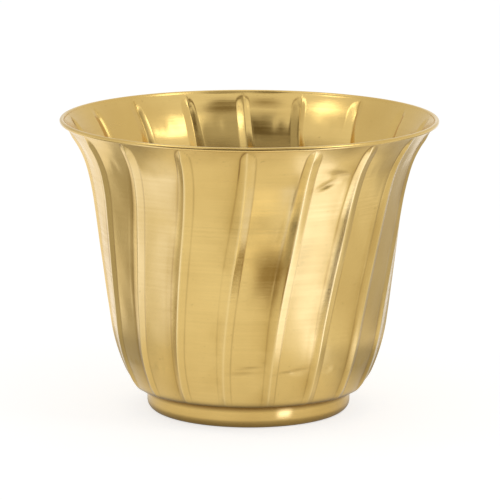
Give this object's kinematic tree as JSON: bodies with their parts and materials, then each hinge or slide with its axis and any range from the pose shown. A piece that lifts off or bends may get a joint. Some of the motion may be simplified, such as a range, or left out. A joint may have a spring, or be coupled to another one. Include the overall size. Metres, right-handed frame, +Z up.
{
  "type": "cachepot",
  "caption": "Flared brass cachepot with a rolled rim and pressed swirl ribs, on a plain soldered foot ring; an ornamental cover for a potted plant.",
  "frame": {"origin": "on the floor under the middle of the foot ring", "axes": "+Z up along the pot's axis; -Y is the picture's front, where one rib's top stands"},
  "size_m": [0.25, 0.25, 0.195],
  "materials": {
    "bowl_brass": "polished, with fine spinning lines",
    "foot_brass": "polished",
    "solder": "dull tin solder"
  },
  "bodies": {
    "root": {"bowl": "bowl_brass", "foot_ring": "foot_brass", "solder_fillet": "solder"}
  },
  "joints": []
}
